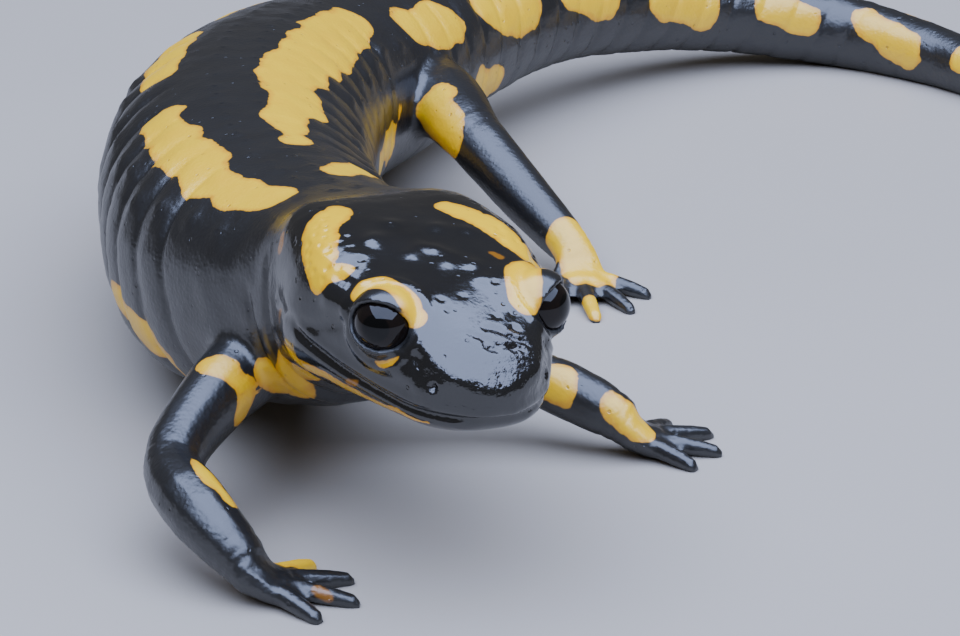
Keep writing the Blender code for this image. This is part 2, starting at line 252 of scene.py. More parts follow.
def get_vectors(item, what):
    """The places or the normals of the mesh's points."""
    flat = np.empty(len(item.data.vertices) * 3, np.float32)
    item.data.vertices.foreach_get(what, flat)
    return flat.reshape(-1, 3).astype(float)


def get_points(item):
    """The mesh's points on the plan, in millimetres."""
    return get_vectors(item, "co") / MM - SHIFT_ARRAY


def set_points(item, points):
    """Moves the mesh's points to these places of the plan."""
    flat = ((points + SHIFT_ARRAY) * MM).astype(np.float32).ravel()
    item.data.vertices.foreach_set("co", flat)
    item.data.update()


def add_group(item, name, weights):
    """A vertex group with a weight for each point, rounded to a few steps."""
    group = item.vertex_groups.new(name=name)
    steps = np.round(np.clip(weights, 0, 1) * WEIGHT_STEPS).astype(int)
    for step in range(1, WEIGHT_STEPS + 1):
        members = np.nonzero(steps == step)[0]
        if len(members):
            group.add(members.tolist(), step / WEIGHT_STEPS, "REPLACE")


def spread(item, values, times):
    """Evens out a value over the mesh by averaging it with its neighbours'."""
    ends = np.empty(len(item.data.edges) * 2, np.int32)
    item.data.edges.foreach_get("vertices", ends)
    a, b = ends[::2], ends[1::2]
    count = np.bincount(a, minlength=len(values)) + np.bincount(b, minlength=len(values))
    count = np.maximum(count, 1)
    for _ in range(times):
        total = np.bincount(a, values[b], len(values)) + np.bincount(b, values[a], len(values))
        values = 0.5 * values + 0.5 * total / count
    return values


class Solids:
    """The flesh solids as one searchable surface."""

    def __init__(self):
        points, faces, self.owner = [], [], []
        for name in FLESH:
            mesh = frame["nodes"][name].data
            faces += [[len(points) + i for i in face.vertices] for face in mesh.polygons]
            points += [v.co.copy() for v in mesh.vertices]
            self.owner += [name] * len(mesh.polygons)
        self.tree = BVHTree.FromPolygons(points, faces)

    def nearest(self, points):
        """How far each plan point stands out from the solids, and the nearest node's name."""
        heights, names = np.empty(len(points)), []
        for i, point in enumerate((points + SHIFT_ARRAY) * MM):
            there, normal, index, distance = self.tree.find_nearest(Vector(point))
            outside = (Vector(point) - there).dot(normal) >= 0
            heights[i] = distance / MM if outside else -distance / MM
            names.append(self.owner[index])
        return heights, np.array(names)


def has_word(names, words):
    """Whether each name has one of the words in it."""
    return np.any([np.char.find(names, word) >= 0 for word in words], axis=0)


# ---- The skin's form ----

HANDS_AND_FEET = ("hand", "foot")
LIMBS = ("arm", "thigh", "shank", *HANDS_AND_FEET)
# Between these the head ends, at its sides and below, where the hands come close to it.
HEAD_SIDES, HEAD_BOTTOM = (9.8, 11.0), (-13.0, -11.5)
HEAD_TO_PLAN = np.array(HEAD)


def to_head(points):
    """Plan points as left, back and up from the middle between the eyes."""
    return (points - HEAD_TO_PLAN[:3, 3]) @ HEAD_TO_PLAN[:3, :3]


def mirrored(local):
    """Head points with the right half laid over the left."""
    return np.abs(local) * (1, 0, 0) + local * (0, 1, 1)


def head_share(points, place, start, end):
    """1 on the head and its throat, fading to 0 from start to end; the hands beside it stay 0."""
    local = to_head(points)
    beside = ease(np.abs(local[:, 0]), *HEAD_SIDES)
    below = 1 - ease(local[:, 2], *HEAD_BOTTOM)
    return (1 - ease(place, start, end)) * (1 - beside) * (1 - below)


def eye_distance(points):
    """How far each point is from the nearer eye's middle."""
    return np.linalg.norm(mirrored(to_head(points)) - (EYE_SPREAD, 0, 0), axis=1)


def lid_frame(side, shape):
    """Axes at an eye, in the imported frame: Z out through the middle of its opening, Y up the lid."""
    forward, upward = shape.opening_forward, shape.opening_upward
    out = Vector((SIDES[side] * cos(forward) * cos(upward), -sin(forward) * cos(upward), sin(upward)))
    across = Vector((0, 0, 1)).cross(out).normalized()
    turn = Matrix((across, out.cross(across), out)).transposed()
    return Matrix.Translation(eye_centre(side)) @ (HEAD.to_3x3() @ turn).to_4x4()


LID_REACH = radians(150)  # from the middle of the opening to the lids' hidden back edge
UPPER_LID = 0.4  # how much farther out the upper lid stands, in halves of its thickness


def add_lid_shell(side, shape):
    """A thin bowl round the eyeball, open where the lids part."""
    deselect()
    bpy.ops.mesh.primitive_grid_add(x_subdivisions=64, y_subdivisions=14, size=2)
    shell = bare(active(), f"lid_shell_{side}")
    grid = lid_frame(side, shape)
    wide, tall = shape.opening_width / 2, shape.opening_height / 2
    for corner in shell.data.vertices:
        turn = pi * (corner.co.x + 1)
        share = (corner.co.y + 1) / 2
        edge = 1 / ((cos(turn) / wide) ** 2 + (sin(turn) / tall) ** 2) ** 0.5
        lean = edge + (LID_REACH - edge) * share
        upper = UPPER_LID * max(0.0, sin(turn))
        radius = EYE_RADIUS * MM + shape.lid_gap + 0.5 * shape.lid_thickness * (1 + upper)
        corner.co = grid @ Vector(
            (radius * sin(lean) * cos(turn), radius * sin(lean) * sin(turn), radius * cos(lean))
        )
    pick(shell)
    merge(LID_MERGE_GAP, outward=True)
    apply_modifier(shell, "SOLIDIFY", thickness=shape.lid_thickness, offset=0.0)
    return shell


def make_skin_base(shape):
    """One closed mesh over all the flesh, with its seams closed and the lids joined on."""
    skin = joined_copy("skin", FLESH)
    apply_modifier(skin, "DISPLACE", strength=shape.closing, mid_level=0.0)
    shells = [add_lid_shell(side, shape) for side in SIDES]
    deselect()
    for shell in shells:
        shell.select_set(True)
    skin.select_set(True)
    bpy.context.view_layer.objects.active = skin
    bpy.ops.object.join()
    apply_modifier(skin, "REMESH", mode="VOXEL", voxel_size=shape.voxel, use_smooth_shade=True)
    return skin


# Rounds of smoothing for the whole skin, its broad forms, and the wrists and ankles.
SKIN_ROUNDS, BROAD_ROUNDS, WRIST_ROUNDS = 10, 30, 60
# Rounds that even out how far the skin moves to the solids, on the hands and elsewhere.
HAND_EVENING, BROAD_EVENING = 24, 140
LARGEST_MOVE = 0.6


def smooth(skin, rounds, weights):
    """Smooths the skin, each point as much as its weight says."""
    add_group(skin, "weights", weights)
    apply_modifier(skin, "SMOOTH", factor=0.5, iterations=rounds, vertex_group="weights")
    skin.vertex_groups.clear()


def settle_on_solids(skin):
    """Smooths the skin and lays it back on the solids' surface, except at the lids."""
    solids = Solids()
    points = get_points(skin)
    place, _ = SPINE.locate(points)
    hands = has_word(solids.nearest(points)[1], HANDS_AND_FEET)
    small, wrist = spread(skin, hands, 6), spread(skin, hands, 60)
    near_eye = 1 - ease(eye_distance(points), 3.0, 4.2)
    in_head = (1 - ease(place, 18.0, 24.0)) * (1 - small)
    broad = np.clip(1 - small - in_head, 0, 1)
    smooth(skin, SKIN_ROUNDS, 0.6 * small + 0.7 * in_head * (1 - 0.6 * near_eye) + broad)
    smooth(skin, BROAD_ROUNDS, broad + 0.35 * in_head * (1 - near_eye))
    points, normals = get_points(skin), get_vectors(skin, "normal")
    heights, _ = solids.nearest(points)
    off_lid = ease(eye_distance(points), 2.9, 3.5)
    heights = np.clip(heights, -LARGEST_MOVE, LARGEST_MOVE) * off_lid
    on_hands, elsewhere = (spread(skin, heights, times) for times in (HAND_EVENING, BROAD_EVENING))
    heights = on_hands * small + elsewhere * (1 - small)
    set_points(skin, points - normals * (heights * off_lid)[:, None])
    smooth(skin, WRIST_ROUNDS, 6 * wrist * (1 - wrist))


class ShapeSettings(bpy.types.PropertyGroup):
    voxel: FloatProperty(
        name="Skin mesh size", description="Edge of the cells the skin is remeshed from",
        default=0.0002, unit="LENGTH", precision=5)
    closing: FloatProperty(
        name="Seam closing", description="How far the solids swell to close the cuts between them",
        default=0.0003, unit="LENGTH", precision=5)
    lid_thickness: FloatProperty(
        name="Lid thickness", description="Thickness of the eyelids",
        default=0.00038, unit="LENGTH", precision=5)
    lid_gap: FloatProperty(
        name="Lid gap", description="Room between eyeball and lid, below zero where they press",
        default=-0.00005, unit="LENGTH", precision=6)
    opening_forward: FloatProperty(
        name="Eye opening forward", description="How far the opening faces forward from sideways",
        default=radians(48), subtype="ANGLE")
    opening_upward: FloatProperty(
        name="Eye opening upward", description="How far the opening faces up",
        default=radians(12), subtype="ANGLE")
    opening_width: FloatProperty(
        name="Eye opening width", description="Angle across the opening, seen from the eye's middle",
        default=radians(136), subtype="ANGLE")
    opening_height: FloatProperty(
        name="Eye opening height", description="Angle from lid to lid, seen from the eye's middle",
        default=radians(92), subtype="ANGLE")
    triangles: IntProperty(
        name="Skin triangles", description="How many triangles the finished skin has",
        default=190000)


# ---- Folds, grooves and pores ----


def mouth_height(local):
    """How far above the line of the mouth each point of the head is."""
    share = np.clip((local[:, 1] + EYE_BEHIND_SNOUT) / MOUTH_LENGTH, 0, 1)
    bend = MOUTH_RISE * share**4 - MOUTH_DIP * np.sin(pi * share)
    return local[:, 2] + MOUTH_BELOW_EYE - bend


def line_distance(points, line):
    """Each point's distance from a chain of straight lines, less the chain's radius where it has one."""
    best = np.full(len(points), np.inf)
    rows = np.array([(*row[:3], row[3] if len(row) > 3 else 0.0) for row in line], float)
    for a, b in zip(rows, rows[1:]):
        along = b[:3] - a[:3]
        t = np.clip(((points - a[:3]) @ along) / max(along @ along, 1e-6), 0, 1)
        gap = np.linalg.norm(points - a[:3] - t[:, None] * along, axis=1)
        best = np.minimum(best, gap - (a[3] + t * (b[3] - a[3])))
    return best


def mouth_relief(local):
    """The closed mouth as a crease between soft lips."""
    height = mouth_height(local)
    corner = MOUTH_LENGTH - EYE_BEHIND_SNOUT
    reach = 1 - ease(local[:, 1], corner - 1.2, corner + 0.2)
    crease = -0.3 * bump(height, 0.28)
    lips = 0.1 * bump(height - 0.65, 0.4) + 0.04 * bump(height + 0.7, 0.4)
    return (crease + lips) * reach


# Lines on the left of the face, which the right repeats: points, height (below zero where it is
# hollow) and width.
FACE_LINES = (
    # the edge of the snout's flat top, at its side and in front
    (((4.0, -1.4, 0.7), (4.2, -2.9, -0.2), (3.9, -4.1, -0.9), (2.9, -5.6, -1.6)), 0.09, 0.7),
    (((2.9, -5.6, -1.6), (1.5, -6.4, -2.0), (0.0, -6.9, -2.3)), 0.2, 0.9),
    # the groove from the eye back over the cheek
    (((7.0, 2.4, -1.2), (8.2, 6.0, -3.0), (8.5, 11.0, -3.8)), -0.2, 0.5),
    # the temple, and the hollow over it
    (((7.3, 3.0, 0.0), (7.5, 4.2, -0.2)), 0.24, 0.8),
    (((6.6, 3.4, 1.3), (6.9, 4.4, 1.1)), -0.12, 0.45),
    # the hollow in front of the eye, and the full lip under it
    (((4.7, -1.8, -0.7), (4.4, -3.4, -1.1)), -0.16, 0.4),
    (((5.6, -1.6, -2.3), (4.9, -3.4, -2.3), (4.3, -4.8, -3.1)), 0.17, 0.55),
)
NOSTRIL = (3.9, -4.9, -2.35)
NOSTRIL_RIM, LID_GROOVE = 0.42, 2.85  # radii


def face_relief(local):
    """Nostrils, the edge of the snout's flat top, the hollows and swellings round the eye."""
    half = mirrored(local)
    nostril = np.linalg.norm(half - NOSTRIL, axis=1)
    relief = 0.1 * bump(nostril - NOSTRIL_RIM, 0.2) - 0.38 * bump(nostril, 0.2)
    for line, height, width in FACE_LINES:
        relief += height * bump(line_distance(half, line), width)
    from_eye = np.linalg.norm(half - (EYE_SPREAD, 0, 0), axis=1)
    return relief - 0.1 * bump(from_eye - LID_GROOVE, 0.15) * ease(local[:, 2], -0.6, 0.8)


# Folds round the neck: place, slant, height, width, and the angles between which each comes in.
NECK_FOLDS = (
    (22.0, 0.012, -0.45, 0.55, 62, 85),
    (25.6, -0.01, -0.22, 0.5, 80, 100),
    (23.8, 0.0, 0.15, 1.0, 80, 110),
)


def neck_relief(place, angle):
    """The fold under the throat, the one behind it, and the skin that swells between them."""
    side = np.abs(angle)
    relief = np.zeros(len(place))
    for at, slant, height, width, start, end in NECK_FOLDS:
        relief += height * bump(place - at - slant * (side - 90), width) * ease(side, start, end)
    return relief


GROOVE_START, GROOVE_END, GROOVE_COUNT = 36.0, 82.0, 12
GROOVE_STEP = (GROOVE_END - GROOVE_START) / (GROOVE_COUNT - 1)
GROOVE_SLANT, GROOVE_DEPTH, GROOVE_WIDTH = 0.02, 0.2, 0.42
RIB_HEIGHT = 0.08
LEFT_FLANK = 0.55  # how deep the stretched left side's grooves are, as a share
RINGS_START, RING_STEP, RING_DEPTH, RING_WIDTH = 88.0, 3.4, 0.13, 0.4


def flank_relief(place, angle):
    """The upright grooves along the flanks, and the tail's fainter ones."""
    side = np.abs(angle)
    lean = place + GROOVE_SLANT * (side - 80)
    wave = np.abs((lean - GROOVE_START + GROOVE_STEP / 2) % GROOVE_STEP - GROOVE_STEP / 2)
    on_flank = ease(side, 22, 48) * (1 - ease(side, 125, 150)) * np.where(angle > 0, LEFT_FLANK, 1)
    along = ease(lean, GROOVE_START - 1, GROOVE_START) * (1 - ease(lean, GROOVE_END, GROOVE_END + 1))
    rib = RIB_HEIGHT * np.cos(2 * pi * wave / GROOVE_STEP - pi)
    relief = (rib - GROOVE_DEPTH * bump(wave, GROOVE_WIDTH)) * on_flank * along
    ring = np.abs((lean - RINGS_START) % RING_STEP - RING_STEP / 2)
    on_tail = ease(place, RINGS_START, RINGS_START + 6) * (1 - ease(place, 150, 172))
    return relief - RING_DEPTH * bump(ring, RING_WIDTH) * on_tail * ease(side, 15, 40)


# Where each limb bends: the middle of the joint and the way the limb runs there.
BENDS = (
    ((-19.6, 6.2, 5.8), (-0.2, -0.9, -0.4)),
    ((-14.6, -2.0, 2.8), (0.6, -0.65, -0.4)),
    ((5.2, 25.0, 4.8), (0.9, -0.3, -0.3)),
    ((11.0, 22.4, 2.7), (0.9, -0.35, -0.3)),
    ((0.6, 68.4, 8.4), (0.5, -0.8, -0.3)),
    ((8.4, 57.8, 2.6), (0.6, -0.75, -0.3)),
    ((-20.2, 88.2, 8.4), (-0.6, 0.6, -0.5)),
    ((-21.8, 97.2, 2.6), (0.1, 0.8, -0.6)),
)


def bend_relief(points, on_limb):
    """Three fine creases across each elbow, knee, wrist and ankle."""
    relief = np.zeros(len(points))
    for middle, direction in BENDS:
        out = points - middle
        along = out @ np.array(Vector(direction).normalized())
        near = 1 - ease(np.linalg.norm(out, axis=1), 2.4, 3.6)
        for at in (-0.8, 0.1, 0.7):
            relief -= 0.05 * bump(along - at, 0.22) * near
    return relief * on_limb


def uneven(points, size, seed):
    """Soft random relief, from -1 to 1, with hollows about the size apart."""
    shift = Vector((seed, 2.7 * seed, 0.6 * seed))
    return np.array([noise.noise(Vector(p) / size + shift) for p in points])


# Kinds of gland: how far each swells, how deep its pore is, and how wide it is.
BACK_GLAND, RIB_GLAND, HEAD_GLAND = (0.1, 0.12, 0.5), (0.2, 0.12, 0.75), (0.03, 0.13, 0.42)
BACK_PLACES = np.arange(25.0, 158.0, 2.5)
RIB_PLACES = GROOVE_START + GROOVE_STEP * (np.arange(-2, GROOVE_COUNT + 1) + 0.5)
HEAD_PLACES = 11.5 + 7.5 * (np.arange(30) + 0.5) / 30
PORE_WIDTH = 0.19


def gland_places():
    """Where the skin's larger glands are: place and angle, with the numbers of their kind."""
    chance = np.random.RandomState(7)
    rows = []
    for places, along, angle, down, gland in ((BACK_PLACES, 0.5, 9, 2, BACK_GLAND),
                                              (RIB_PLACES, 0.4, 60, 5, RIB_GLAND)):
        for place in places:
            for side in (-1, 1):
                move, turn = chance.uniform(-1, 1, 2)
                rows.append((place + along * move, side * (angle + down * turn), *gland))
    for place in HEAD_PLACES:
        for side in (-1, 1):
            rows.append((place, side * chance.uniform(38, 60), *HEAD_GLAND))
    return rows


class SkinFinder:
    """Finds points on the finished skin from their place along the body and their angle."""

    def __init__(self, skin):
        self.tree = BVHTree.FromObject(skin, bpy.context.evaluated_depsgraph_get())

    def touch(self, place, angle):
        """The point of the plan where the angle's ray meets the skin."""
        centre, direction = SPINE.ray(place, angle)
        start = Vector((centre + SHIFT_ARRAY) * MM)
        hit = self.tree.ray_cast(start, Vector(direction))[0]
        return np.array(hit) / MM - SHIFT_ARRAY

    def settle(self, chain):
        """Moves each row's point to the nearest place on the skin."""
        rows = []
        for x, y, z, radius in chain:
            there = self.tree.find_nearest((Vector((x, y, z)) + SHIFT) * MM)[0]
            rows.append((*(there / MM - SHIFT), radius))
        return rows


# Low swellings of the crown and pits of the snout: left, back and up from between the eyes.
CROWN_SWELLINGS = (
    (-5.2, 5.4, 2.1), (-3.4, 7.0, 2.4), (-4.0, 6.4, 2.4), (-1.9, 4.4, 2.3), (-1.0, 5.0, 2.4),
    (-0.1, 4.5, 2.4), (0.5, 3.7, 2.3), (-0.1, 2.9, 2.2), (1.6, 2.5, 2.1), (1.7, 0.8, 1.9),
    (3.0, 6.6, 2.4), (1.2, 7.4, 2.5), (-1.6, 8.6, 2.5),
)
SNOUT_PITS = (
    (-2.0, -0.7, 1.6), (-0.4, -0.6, 1.6), (-1.9, -1.6, 1.3), (2.2, 0.3, 1.8), (1.2, -2.6, 0.9),
    (-1.2, -3.6, 0.4), (2.4, -2.4, 0.9), (0.4, -4.6, -0.3),
)
WRINKLED_SPOT = (1.0, -4.1, 0.3)
WRINKLE_REACH, WRINKLE_COUNT = 3.5, 16


def wrinkle_relief(local):
    """Short creases across the top of the snout, in front of the eyes."""
    chance = np.random.RandomState(11)
    relief = np.zeros(len(local))
    near = np.nonzero(np.linalg.norm(local - WRINKLED_SPOT, axis=1) < WRINKLE_REACH)[0]
    flat = local[near] * (1, 1, 0)
    for _ in range(WRINKLE_COUNT):
        left, back = chance.uniform(-1, 1, 2)
        middle = np.array((WRINKLED_SPOT[0] + 1.5 * left, WRINKLED_SPOT[1] + 0.9 * back, 0.0))
        half = chance.uniform(0.12, 0.4) * np.array((1.0, -0.35, 0.0))
        relief[near] -= 0.13 * bump(line_distance(flat, (middle - half, middle + half)), 0.16)
    return relief


def spot_relief(points, finder):
    """The crown's swellings and the snout's pits."""
    relief = np.zeros(len(points))
    for rows, height, width in ((CROWN_SWELLINGS, 0.17, 0.7), (SNOUT_PITS, -0.1, 0.2)):
        chain = [(*(HEAD @ Vector(row)), 0.0) for row in rows]
        for x, y, z, _ in finder.settle(chain):
            relief += height * bump(np.linalg.norm(points - (x, y, z), axis=1), width)
    return relief


def gland_relief(points, place, finder):
    """The glands' low swellings, each with its pore."""
    relief = np.zeros(len(points))
    for at, angle, swelling, pit, width in gland_places():
        near = np.nonzero(np.abs(place - at) < 2.5)[0]
        gap = np.linalg.norm(points[near] - finder.touch(at, angle), axis=1)
        relief[near] += swelling * bump(gap, width) - pit * bump(gap, PORE_WIDTH)
    return relief


def uneven_relief(points, local, on_limb, in_head, off_lid):
    """The random unevenness, calm on the limbs and fainter still on the head."""
    coarse, fine = uneven(points, size=2.3, seed=1.0), uneven(points, size=0.9, seed=2.0)
    body = (0.07 * coarse + 0.03 * fine) * (1 - in_head) * (1 - 0.6 * on_limb)
    crown = ease(local[:, 1], 0.0, 2.5) * ease(local[:, 2], 0.0, 1.5)
    head = 0.02 * coarse + 0.02 * uneven(points, size=1.0, seed=3.0) * crown
    return body + head * in_head * off_lid


def carve(skin):
    """Moves the skin's points in and out for its folds, grooves and pores."""
    points, normals = get_points(skin), get_vectors(skin, "normal")
    place, angle = SPINE.locate(points)
    local = to_head(points)
    on_limb = spread(skin, has_word(Solids().nearest(points)[1], LIMBS), 4)
    on_body = 1 - on_limb
    in_head = (1 - ease(place, 19.0, 22.0)) * on_body
    off_lid = ease(eye_distance(points), 2.75, 3.0)
    finder = SkinFinder(skin)
    relief = (mouth_relief(local) + (face_relief(local) + wrinkle_relief(local)) * off_lid) * in_head
    relief += (neck_relief(place, angle) + flank_relief(place, angle)) * on_body
    relief += bend_relief(points, on_limb)
    relief += (gland_relief(points, place, finder) + spot_relief(points, finder)) * on_body * off_lid
    relief += uneven_relief(points, local, on_limb, in_head, off_lid)
    relief *= ease(points[:, 2], 0.1, 0.5)
    points += normals * relief[:, None]
    # Nothing goes below the floor that the animal stands on.
    points[:, 2] = np.maximum(points[:, 2], 0.0)
    set_points(skin, points)


def thin_out(skin, shape):
    """Joins faces where the skin is broad, so that the fine ones are on the head, hands and feet."""
    points = get_points(skin)
    place, _ = SPINE.locate(points)
    small = has_word(Solids().nearest(points)[1], HANDS_AND_FEET)
    hidden = eye_distance(points) < EYE_RADIUS + 0.1
    keep = ((head_share(points, place, 20.0, 21.0) > 0.5) | small) & ~hidden
    add_group(skin, "broad", ~keep)
    # Each face of the remeshed skin has four sides, which makes two triangles.
    ratio = shape.triangles / (2 * len(skin.data.polygons))
    apply_modifier(skin, "DECIMATE", ratio=ratio, vertex_group="broad")
    skin.vertex_groups.clear()


# ---- Markings ----

# Yellow marks on the head, about the middle between the eyes: left, back, up and radius.
HEAD_MARKS = (
    # the long mark on the right gland and its hook towards the eye
    ((-4.3, 11.3, 2.3, 1.0), (-5.3, 10.6, 2.2, 1.3), (-6.3, 9.7, 2.0, 1.4), (-7.0, 8.1, 1.6, 1.5),
     (-7.3, 6.8, 1.1, 1.4), (-7.6, 5.8, 0.4, 1.1)),
    ((-7.2, 5.2, 1.1, 0.75), (-6.5, 4.4, 1.6, 0.4)),
    # the long mark on the left gland
    ((3.2, 10.3, 2.4, 0.9), (4.0, 9.2, 2.4, 1.1), (4.8, 7.7, 2.4, 1.2), (5.4, 6.2, 2.2, 1.2),
     (5.9, 4.7, 1.9, 1.15), (6.4, 3.3, 1.5, 0.9)),
    # the crescent over the right eye
    ((-6.6, 2.2, 0.9, 0.4), (-6.1, 2.0, 1.4, 0.85), (-5.5, 1.4, 1.9, 1.05), (-4.9, 0.4, 2.0, 1.0),
     (-4.5, -0.7, 1.6, 1.05), (-4.2, -1.5, 1.0, 0.75)),
    # the patch on the left brow
    ((4.7, 1.6, 1.9, 0.8), (6.0, 1.5, 1.9, 0.9)),
    ((4.5, 0.9, 2.0, 1.2), (4.1, -0.3, 1.8, 1.25), (3.6, -1.4, 1.2, 1.15)),
    # the thin arc under the right eye
    ((-6.0, -0.7, -2.4, 0.06), (-5.9, -1.1, -2.4, 0.2), (-5.7, -1.5, -2.3, 0.26),
     (-5.4, -2.0, -1.9, 0.2), (-5.1, -2.3, -1.4, 0.04)),
    # the line under each side of the jaw
    ((-8.4, 8.6, -6.8, 0.9), (-7.9, 6.6, -6.4, 0.75), (-7.4, 4.4, -6.0, 0.55), (-6.5, 2.6, -6.0, 0.5),
     (-5.6, 0.1, -5.8, 0.4), (-4.9, -2.7, -5.2, 0.28), (-3.9, -4.7, -5.0, 0.18)),
    ((8.2, 8.2, -6.6, 0.8), (7.4, 5.2, -6.4, 0.6), (6.4, 2.2, -6.2, 0.4)),
    # the throat
    ((-1.5, 4.0, -9.0, 0.9), (0.6, 6.0, -9.6, 1.1), (0.2, 8.5, -10.2, 0.7)),
    ((2.6, 1.2, -8.2, 0.5), (3.2, 2.6, -8.6, 0.6)),
)

# Yellow marks on the body: distance behind the snout, angle from the top to the left, and radius.
BODY_MARKS = (
    # the right row along the back
    ((27.6, -34, 1.4), (32, -37, 1.8), (38, -35, 1.9), (45, -34, 2.0), (51.5, -38, 1.7)),
    ((62, -36, 1.7), (67, -40, 2.1), (71.5, -36, 1.8)),
    ((80, -40, 1.9), (86, -34, 2.2), (90, -40, 1.5)),
    ((101, -38, 1.8), (106, -44, 2.1)),
    ((115, -30, 1.7), (121, -42, 1.6)),
    ((131, -40, 1.5), (134, -52, 1.3)),
    ((143, -35, 1.5), (149, -44, 1.2)),
    ((159, -30, 1.2), (164, -50, 1.0)),
    # the left row
    ((30.5, 22, 1.0), (33.2, 34, 1.3), (35.4, 44, 1.2)),
    ((40.5, 17, 1.3), (46, 19, 1.8), (50, 25, 2.1), (58, 24, 2.4), (66, 33, 2.9), (77, 36, 2.8),
     (84, 33, 2.1)),
    ((93, 46, 2.2), (98, 50, 2.3)),
    ((106, 52, 2.0), (112, 62, 1.9)),
    ((119.5, 58, 1.9), (124.5, 70, 1.8)),
    ((132, 62, 2.1), (137, 78, 1.9)),
    ((145, 60, 1.9), (149, 80, 1.6)),
    ((156, 45, 1.7), (161, 74, 1.6)),
    ((168, 50, 1.4), (172, 78, 1.1)),
    ((178, 30, 0.9), (181, 60, 0.7)),
    # low on the right flank
    ((45.5, -108, 1.3), (41.5, -113, 1.7), (38.6, -122, 1.5), (38.4, -132, 1.1)),
    ((56, -114, 1.4), (59, -106, 1.2)),
    ((69, -100, 1.0), (72, -112, 1.5), (76, -110, 1.0)),
    ((92, -112, 1.2), (96, -104, 1.0)),
    # low on the left flank
    ((42, 112, 1.4), (46, 104, 1.2)),
    ((57, 106, 1.3), (61, 116, 1.5)),
    ((74, 104, 1.2), (79, 98, 1.6), (81, 108, 1.2)),
    ((102, 108, 1.7), (106, 116, 1.4)),
    # the neck's folds and the breast
    ((19.8, -141, 0.6), (22.0, -131, 0.8), (23.5, -140, 1.0), (25.2, -149, 0.9)),
    ((26.2, -128, 0.6), (25.9, -134, 0.75), (26.4, -142, 0.7)),
    ((22.5, 128, 1.0), (23.4, 142, 0.9)),
    ((31, 192, 1.0), (33, 176, 1.2)),
    # the belly
    ((52, 172, 0.8), (54, 166, 0.7)),
    ((67, -166, 0.9), (69, -160, 0.6)),
    ((86, 178, 0.8), (88, 170, 0.9)),
)

# Yellow marks on the limbs: a point of the plan and a radius.
LIMB_MARKS = (
    # right shoulder, forearm, and hand
    ((-17.2, 12.9, 10.9, 0.75), (-16.0, 12.7, 10.5, 0.9), (-15.4, 12.2, 9.8, 0.95),
     (-15.0, 11.9, 8.7, 0.8), (-15.1, 11.5, 7.6, 0.5)),
    ((-18.0, 3.7, 7.5, 0.55), (-17.2, 2.2, 7.3, 0.75), (-16.4, 1.0, 6.8, 0.75), (-15.4, 0.2, 6.0, 0.6)),
    ((-12.8, 0.9, 3.1, 0.9), (-11.2, 1.2, 2.4, 1.0), (-10.0, 1.9, 1.2, 0.7)),
    # left arm and wrist
    ((4.6, 22.6, 6.2, 1.3), (6.5, 22.4, 5.3, 1.5)),
    ((10.3, 21.4, 4.2, 1.2), (12.2, 21.4, 2.8, 1.1)),
    # left thigh, foot and toes
    ((-3.0, 70.4, 10.0, 2.4), (-1.6, 68.6, 9.4, 2.7)),
    ((8.2, 57.2, 3.6, 1.9), (10.0, 54.8, 2.2, 2.0)),
    ((9.4, 50.4, 1.0, 0.7), (9.8, 49.2, 0.8, 0.7)),
    # right thigh, shank and foot
    ((-18.8, 86.0, 11.2, 1.8), (-20.6, 88.4, 10.2, 1.7)),
    ((-23.2, 95.4, 4.4, 1.2), (-23.6, 98.6, 2.6, 1.3)),
)

# Small orange or brownish flecks: on the body, on the head, and on the right hand.
BODY_FLECKS = (
    ((19.6, -66, 0.45), (19.8, -61, 0.35)),
    ((17.4, -95, 0.35), (17.5, -92, 0.3)),
)
HEAD_FLECKS = (
    ((-6.9, 0.9, -4.7, 0.2), (-6.5, 1.8, -5.1, 0.28)),
    ((3.6, 3.6, 2.2, 0.25), (3.9, 3.1, 2.2, 0.3)),
)
HAND_FLECKS = (((-9.6, -3.2, 1.2, 0.4), (-9.0, -3.9, 0.9, 0.4)),)
MARK_STEPS = 4  # the parts into which each line of a mark is cut to lie on the skin
FAR_FROM_MARKS = 9.0


def head_chain(chain):
    return [(*(HEAD @ Vector(row[:3])), row[3]) for row in chain]


def body_chain(chain, finder):
    return [(*finder.touch(place, angle), radius) for place, angle, radius in chain]


def in_steps(chain):
    """The chain with more points between its own."""
    rows = np.array(chain, float)
    knots = np.arange(len(rows))
    steps = np.linspace(0, knots[-1], MARK_STEPS * knots[-1] + 1)
    return np.stack([np.interp(steps, knots, column) for column in rows.T], axis=1)


def paint_marks(skin):
    """Writes each point's distance from the nearest mark, negative inside it, for the material."""
    points = get_points(skin)
    finder = SkinFinder(skin)
    marks = [finder.settle(in_steps(head_chain(chain))) for chain in HEAD_MARKS]
    marks += [finder.settle(in_steps(chain)) for chain in LIMB_MARKS]
    marks += [body_chain(in_steps(chain), finder) for chain in BODY_MARKS]
    flecks = [finder.settle(head_chain(chain)) for chain in HEAD_FLECKS]
    flecks += [finder.settle(chain) for chain in HAND_FLECKS]
    flecks += [body_chain(chain, finder) for chain in BODY_FLECKS]
    for name, chains in (("yellow", marks), ("fleck", flecks)):
        field = np.full(len(points), FAR_FROM_MARKS)
        for chain in chains:
            field = np.minimum(field, line_distance(points, chain))
        write_value(skin, name, field)


def write_value(item, name, values):
    """Keeps a value for each of the mesh's points, for the material."""
    attribute = item.data.attributes.new(name, "FLOAT", "POINT")
    attribute.data.foreach_set("value", values.astype(np.float32))


# Weights round the eye: the distances from its middle between which each fades out.
EYE_REGIONS = {"lid_edge": (2.2, 2.32), "lid": (2.6, 2.9), "near_eye": (3.2, 4.0)}


